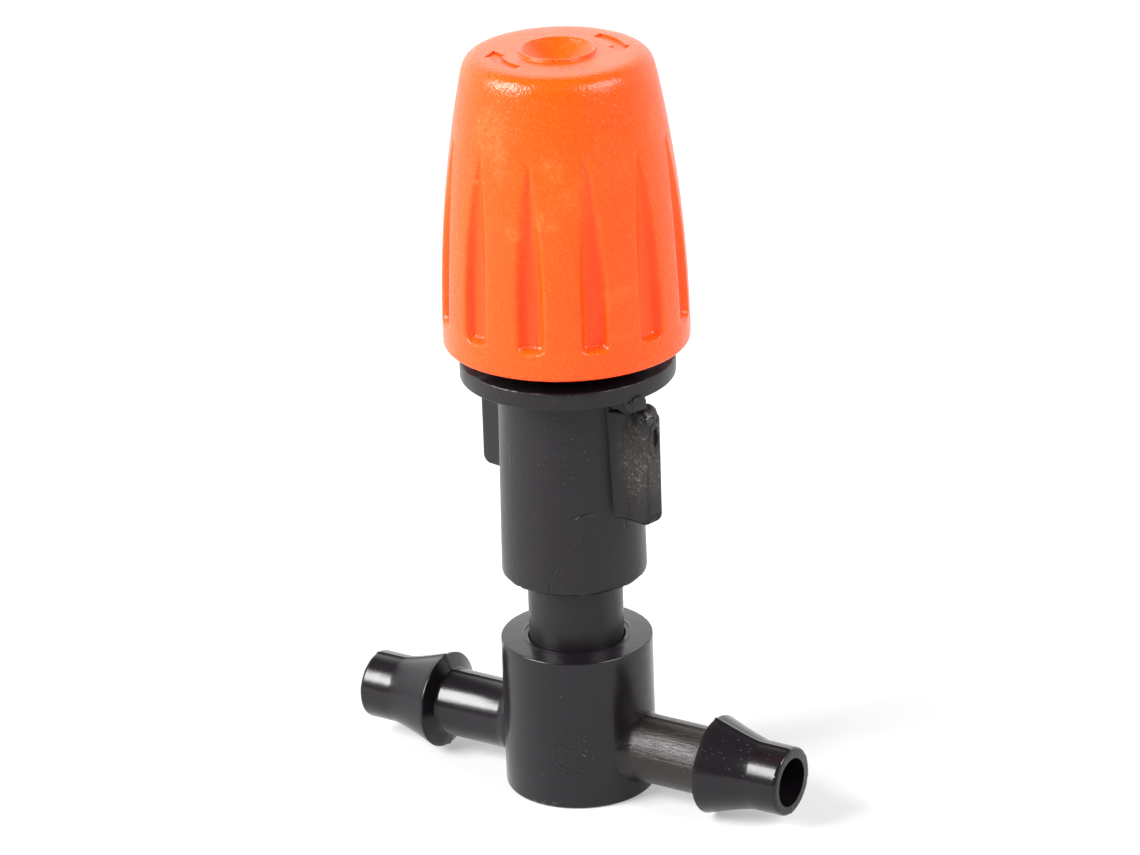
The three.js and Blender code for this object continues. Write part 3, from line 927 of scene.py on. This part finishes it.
def nozzlePlastic(paint):
    s = nozzleLook
    z = paint.axes()[2]
    flow = paint.noise(1.2, 4, 0.6, paint.stretched((1, 1, 0.5)), 1.2)
    chatter = paint.noise(0.3, 2, 0.5, paint.stretched((0.25, 0.25, 1)), 0.4) * paint.wallPatch(*s["chatter"])
    melted = paint.wallPatch(*s["melted"])
    rough = paint.wallPatch(*s["rough"])
    fibres = paint.noise(0.3, 6, 0.75, warp=1.5)
    lint = paint.fade(fibres, 0.53, 0.66) * rough
    # painted glints: pale flecks over the rough patch stand in for the highlights it catches
    paintedGlints = paint.specks(0.26, 0.045, 0.3) * rough
    dust = paint.specks(0.38, 0.035, 0.5) * (paint.fade(z, 13 * mm, 26 * mm) * 0.7 + 0.3)
    knit = paint.arc(*s["knitArc"], s["knitR"], s["knitWide"], s["knitLow"])
    knit = knit + sum(paint.scratch(*numbers) for numbers in s["creases"])
    faint = sum(paint.scratch(*numbers) for numbers in s["scratches"])
    colour = paint.blend(dust, s["black"], s["dust"])
    # the lint, a faint wash over the rough patch and the painted glints all take the scuffed colour
    colour = paint.blend(lint * 0.55 + rough * 0.07 + paintedGlints * 0.8, colour, s["scuffed"])
    colour = paint.blend(faint * 0.08, colour, s["dust"])
    # painted shade: the knit line and creases are darkened in colour, as well as sunk by the bump below
    colour = paint.blend(knit, colour, s["crease"])
    roughness = flow * 0.14 + s["roughness"] - 0.07 + rough * 0.1 - melted * 0.22
    bump = paint.bump(paint.noise(0.16, 2), 0.003)
    bump = paint.bump(flow, 0.02, bump)
    bump = paint.bump(chatter, 0.06, bump)
    bump = paint.bump(fibres * rough, 0.14, bump)
    bump = paint.bump(paint.noise(0.4, 2) * melted, 0.3, bump)
    bump = paint.bump(1 - knit + faint * 0.3, 0.05, bump)
    bump = paint.bump(dust, 0.015, bump)
    return {"Base Color": colour, "Roughness": roughness, "Normal": bump}


teeLook = {
    # brown is a painted sheen for the warm highlight of the right stem
    "black": (0.0054, 0.0041, 0.0056), "dust": (0.1, 0.09, 0.075), "brownSheen": (0.014, 0.0105, 0.008),
    "specular": 0.33, "roughness": 0.2,
    "drawnAt": (4.8, -64, 3.9), "drawnSize": (1.5, 2.5, 2.6), "drawnSlant": 56,
    "pitsAt": (12.2, -1.6, 5.0), "pitsSize": (3.4, 1.6, 1.6),
    "scuffed": (4.8, -78, 0.2, (3, 3, 3)),  # radius, turn, height, size
}


def teePlastic(paint):
    s = teeLook
    x, _, z = paint.axes()
    flow = paint.noise(1.6, 3, 0.5, warp=0.6)
    streaks = paint.noise(0.2, 5, 0.75, paint.stretched((0.07, 1, 1)), 0.1)
    rightStem = paint.fade(x, 4.2 * mm, 5.4 * mm) * paint.fade(x, 10.6 * mm, 9.6 * mm)
    brushedAndSheen = rightStem * (streaks * 0.6 + 0.55)
    # short dashes, dragged aslant over the barrel's front
    slanted = paint.local(onWall(*s["drawnAt"]), (1000, 1000, 1000), s["drawnAt"][1], s["drawnSlant"])
    leaning = paint.node("ShaderNodeMapping", {}, {"Vector": slanted, "Scale": (1, 1, 0.24)})
    drawn = paint.specks(0.2, 0.1, 0.85, leaning) * paint.wallPatch(*s["drawnAt"], s["drawnSize"])
    # small pits on the right barb; the pale colour they get below is painted glints
    pitsAndGlints = paint.specks(0.24, 0.05, 0.4) * paint.patch(s["pitsAt"], s["pitsSize"])
    dust = paint.specks(0.75, 0.045, 0.22)
    scuffed = paint.specks(0.35, 0.12, 0.5, paint.stretched((0.5, 0.5, 1)))
    scuffed = scuffed * paint.fade(z, 0.5 * mm, 0.25 * mm) * paint.wallPatch(*s["scuffed"])
    # the streaks are real brushing in roughness and bump; their brown tint in colour is painted sheen
    colour = paint.blend(brushedAndSheen * 0.8, s["black"], s["brownSheen"])
    # the pale of the pits is painted glints where the right barb catches the light; the dust and scuffs are
    # real
    colour = paint.blend(dust * 0.7 + pitsAndGlints * 0.3 + scuffed * 0.35, colour, s["dust"])
    roughness = flow * 0.06 + s["roughness"] - 0.03 + brushedAndSheen * 0.1 + drawn * 0.1
    bump = paint.bump(flow, 0.015)
    bump = paint.bump(streaks * (rightStem * 0.9 + 0.1), 0.05, bump)
    bump = paint.bump(1 - drawn, 0.024, bump)
    bump = paint.bump(dust + pitsAndGlints, 0.025, bump)
    return {"Base Color": colour, "Roughness": roughness, "Normal": bump}


coreLook = {"black": (0.012, 0.012, 0.012), "grey": (0.03, 0.03, 0.03), "specular": 0.4, "roughness": 0.3}


def corePlastic(paint):
    s = coreLook
    flow = paint.noise(0.8, 3)
    return {"Base Color": paint.blend(flow * 0.3, s["black"], s["grey"]),
            "Roughness": flow * 0.2 + s["roughness"], "Normal": paint.bump(flow, 0.02)}


ringLook = {"black": (0.01, 0.01, 0.01), "bloom": (0.03, 0.03, 0.032), "specular": 0.3, "roughness": 0.5}


def ringRubber(paint):
    s = ringLook
    bloom = paint.noise(0.6, 4)
    return {"Base Color": paint.blend(bloom * 0.5, s["black"], s["bloom"]),
            "Roughness": bloom * 0.25 + s["roughness"], "Normal": paint.bump(paint.noise(0.12, 2), 0.006)}


place(makeTee(), "tee_connector", "tee", "tee_plastic",
      newMaterial("blackTee", {"Specular IOR Level": teeLook["specular"]}, teePlastic))
place(makeNozzle(), "nozzle_body", "nozzle", "nozzle_plastic",
      newMaterial("blackNozzle", {"Specular IOR Level": nozzleLook["specular"]}, nozzlePlastic))
place(makeCap(), "adjuster_cap", "cap", "cap_plastic",
      newMaterial("orangeCap", {"Specular IOR Level": capLook["specular"]}, capPlastic))
place(makeCore(), "swirl_core", "core", "core_plastic",
      newMaterial("swirlCore", {"Specular IOR Level": coreLook["specular"]}, corePlastic))
place(makeRing(), "seal_ring", "ring", "ring_rubber",
      newMaterial("ringRubber", {"Specular IOR Level": ringLook["specular"]}, ringRubber))
print("pieces placed")


studio = {
    "turn": 32.5, "rise": 22.28, "away": 315.5, "aim": 24.1, "lens": 160.3, "sensor": 36, "roll": -1.93,
    "floorSize": 2,  # in metres
    # the floor's glow is painted light, weaker near the object than far from it
    "floorWhite": 0.34, "floorGlow": 0.39, "farGlow": 0.95,
    "glowStart": 0.2, "glowEnd": 0.75,  # where the floor's glow rises, in metres from the middle
    "skyFront": 0.24, "skyBack": 1.8, "skyTop": 0.2, "skyTurn": (-0.5, 0.6), "skyRise": (0.5, 0.8),
    # name: turn from the camera, rise, distance, size, brightness
    "lights": {"softboxLeft": (-70, 34, 600, 320, 25), "softboxRight": (58, 36, 600, 300, 14)},
}


def viewAxes():
    turn = math.radians(studio["turn"])
    rise = math.radians(studio["rise"])
    right = Vector((math.cos(turn), math.sin(turn), 0))
    front = Vector((math.sin(turn), -math.cos(turn), 0))
    back = front * math.cos(rise) + Vector((0, 0, math.sin(rise)))
    return right, front, back


def makeCamera():
    back = viewAxes()[2]
    aim = Vector((0, 0, studio["aim"] * mm))
    camera = bpy.data.objects.new("camera", bpy.data.cameras.new("camera"))
    bpy.context.scene.collection.objects.link(camera)
    camera.location = aim + back * studio["away"] * mm
    camera.rotation_mode = "QUATERNION"
    roll = Quaternion((0, 0, 1), math.radians(studio["roll"]))
    camera.rotation_quaternion = (-back).to_track_quat("-Z", "Y") @ roll
    camera.data.lens = studio["lens"]
    camera.data.sensor_width = studio["sensor"]
    camera.data.clip_start = 0.01
    bpy.context.scene.camera = camera


# A square softbox that faces the object. Its brightness is that of its face.
def makeLight(name, turn, rise, distance, size, brightness):
    right, front = viewAxes()[:2]
    turn, rise = math.radians(turn), math.radians(rise)
    level = right * math.sin(turn) + front * math.cos(turn)
    toLight = level * math.cos(rise) + Vector((0, 0, math.sin(rise)))
    light = bpy.data.objects.new(name, bpy.data.lights.new(name, "AREA"))
    bpy.context.scene.collection.objects.link(light)
    light.location = Vector((0, 0, studio["aim"] * mm)) + toLight * distance * mm
    light.rotation_euler = (-toLight).to_track_quat("-Z", "Y").to_euler()
    light.data.size = size * mm
    light.data.energy = 4 * (size * mm) ** 2 * brightness
    light.visible_camera = False


# A pale backdrop all round behind the object, dimmer in front of it and overhead.
def makeSky():
    world = bpy.data.worlds.new("studio")
    bpy.context.scene.world = world
    world.use_nodes = True
    paint = Paint(world.node_tree)
    direction = paint.node("ShaderNodeTexCoord", {}, {}, "Generated")
    away = paint.node("ShaderNodeVectorMath", {"operation": "DOT_PRODUCT"},
                      {0: direction, 1: -viewAxes()[1]}, "Value")
    up = paint.split(direction)[2]
    front, back = studio["skyFront"], studio["skyBack"]
    level = paint.fade(away, *studio["skyTurn"]) * (back - front) + front
    overhead = paint.fade(up, *studio["skyRise"])
    sky = level * (1 - overhead) + overhead * studio["skyTop"]
    background = world.node_tree.nodes["Background"]
    world.node_tree.links.new(sky.socket, background.inputs["Color"])


def floorGlow(paint):
    near, far = studio["floorGlow"], studio["farGlow"]
    rise = paint.fade(paint.length(paint.place()), studio["glowStart"], studio["glowEnd"])
    return {"Emission Color": rise * (far - near) + near}


# A pale floor that glows: painted light, dimmer near the object so its shadows show and brighter further out.
def makeFloor():
    clearSelection()
    bpy.ops.mesh.primitive_plane_add(size=studio["floorSize"])
    floor = bpy.context.object
    floor.name = "floor"
    pale = newMaterial("paleFloor", {
        "Base Color": (studio["floorWhite"],) * 3 + (1,), "Roughness": 0.8, "Specular IOR Level": 0.1,
        "Emission Strength": 1}, floorGlow)
    floor.data.materials.append(pale)


bpy.context.scene.view_settings.view_transform = "Standard"
makeFloor()
makeSky()
for name, numbers in studio["lights"].items():
    makeLight(name, *numbers)
makeCamera()
print("studio ready")
